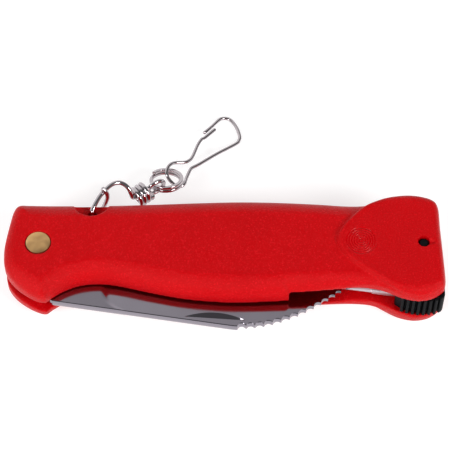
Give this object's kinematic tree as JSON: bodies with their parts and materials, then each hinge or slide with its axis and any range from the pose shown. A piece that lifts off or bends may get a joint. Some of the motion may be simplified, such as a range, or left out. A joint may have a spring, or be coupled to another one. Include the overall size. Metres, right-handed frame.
{
  "type": "rigging knife",
  "caption": "Folding rigging knife with a serrated sheepsfoot blade, a fold-out marlinspike on a ribbed thumb hub, a moulded two-shell handle and a wire lanyard chain with a snap hook.",
  "frame": {"origin": "middle of the far rivet head's flat face, on the blade's axis; the knife lies on its far side at Z = 0", "axes": "+X from the blade's pivot to the butt, +Y towards the closed back, +Z out of the near face"},
  "size_m": [0.1103, 0.0684, 0.018],
  "materials": {
    "red_shell": "fine spark-eroded texture",
    "blade_steel": "polished flats, fine ground grain",
    "spike_steel": "satin",
    "spring_steel": "satin",
    "rivet_brass": "turned face",
    "black_moulding": "moulded, slightly soft",
    "black_axle": "smooth",
    "nickel_wire": "bright nickel plate"
  },
  "bodies": {
    "handle": {"near_handle_shell": "red_shell", "far_handle_shell": "red_shell", "pivot_rivet": "rivet_brass", "pivot_sleeve": "rivet_brass", "near_pivot_washer": "spring_steel", "far_pivot_washer": "spring_steel", "back_spring": "spring_steel", "front_spring_pin": "spring_steel", "rear_spring_pin": "spring_steel", "front_screw": "spring_steel", "rear_screw": "spring_steel", "hub_axle": "black_axle", "near_hub_washer": "spring_steel", "far_hub_washer": "spring_steel"},
    "blade": {"blade": "blade_steel"},
    "spike": {"marlinspike": "spike_steel", "thumb_hub": "black_moulding"},
    "bail": {"lanyard_bail": "nickel_wire", "bail_wrap": "nickel_wire"},
    "ring": {"split_ring": "nickel_wire"},
    "hook": {"snap_hook": "nickel_wire"}
  },
  "joints": [
    {"name": "blade_hinge", "type": "hinge", "parent": "handle", "child": "blade", "pos_m": [0, 0, 0.009], "axis": [0, 0, -1], "range_deg": [0, 171]},
    {"name": "spike_hinge", "type": "hinge", "parent": "handle", "child": "spike", "pos_m": [0.0966, -0.0003, 0.009], "axis": [0, 0, 1], "range_deg": [0, 180]},
    {"name": "bail_swing", "type": "hinge", "parent": "handle", "child": "bail", "pos_m": [0.0131, 0.0102, 0.009], "axis": [0, 0, 1], "range_deg": [-6, 42]},
    {"name": "ring_swing", "type": "hinge", "parent": "bail", "child": "ring", "pos_m": [0.0289, 0.0215, 0.00825], "axis": [0.7413, -0.6712, 0], "range_deg": [-12, 20]},
    {"name": "hook_swing", "type": "hinge", "parent": "ring", "child": "hook", "pos_m": [0.0342, 0.0269, 0.00615], "axis": [0, 0, 1], "range_deg": [-12, 12]}
  ]
}
